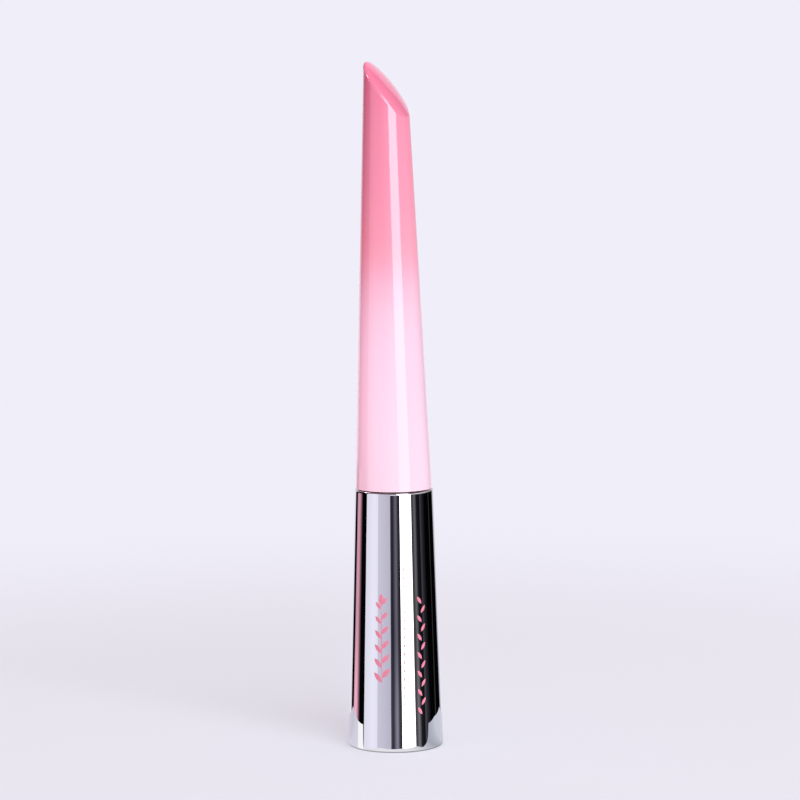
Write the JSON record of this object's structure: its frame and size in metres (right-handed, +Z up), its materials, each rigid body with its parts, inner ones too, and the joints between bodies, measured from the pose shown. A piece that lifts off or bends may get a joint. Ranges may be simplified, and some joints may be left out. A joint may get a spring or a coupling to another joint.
{
  "type": "liquid eyeliner",
  "caption": "Dip-in liquid eyeliner: tapered chrome bottle under a long pink lacquered screw cap with a slanting top, and a brush on a stem inside.",
  "frame": {"origin": "centre of the bottle's foot, on the surface that it stands on", "axes": "+Z up along the bottle's axis, towards the cap; the cap's slanting top faces +X when the cap is screwed home; +Y is to the left of +X seen from above"},
  "size_m": [0.018, 0.018, 0.1298],
  "materials": {
    "chrome_plate": "polished",
    "pink_lacquer": "gloss",
    "plug_plastic": "satin",
    "label_paper": "satin",
    "vial_plastic": "satin",
    "wiper_rubber": "satin",
    "ink": "gloss",
    "steel": "satin",
    "white_plastic": "satin",
    "foam": "matte",
    "black_plastic": "satin",
    "ferrule_metal": "polished",
    "bristle": "satin"
  },
  "bodies": {
    "bottle": {"bottle_shell": "chrome_plate", "base_plug": "plug_plastic", "base_label": "label_paper", "vial": "vial_plastic", "wiper": "wiper_rubber", "ink_fill": "ink"},
    "ball": {"mixing_ball": "steel"},
    "washer": {"sealing_washer": "foam"},
    "weight": {"cap_weight": "steel"},
    "cap": {"cap_shell": "pink_lacquer", "cap_liner": "white_plastic", "applicator_stem": "black_plastic", "brush_ferrule": "ferrule_metal", "brush_tuft": "bristle"}
  },
  "joints": [
    {"name": "ball_travel", "type": "slide", "parent": "bottle", "child": "ball", "axis": [0, 0, 1], "range_m": [0, 0.02]},
    {"name": "wand_withdraw", "type": "slide", "parent": "bottle", "child": "washer", "axis": [0, 0, 1], "range_m": [0, 0.06]},
    {"name": "thread_lift", "type": "slide", "parent": "washer", "child": "weight", "axis": [0, 0, 1], "range_m": [0, 0.00375]},
    {"name": "cap_turn", "type": "hinge", "parent": "weight", "child": "cap", "pos_m": [0, 0, 0.0494], "axis": [0, 0, 1], "range_deg": [0, 450]}
  ],
  "couplings": [
    {"joint": "thread_lift", "follows": "cap_turn", "m_per_rad": 0.0004774}
  ]
}
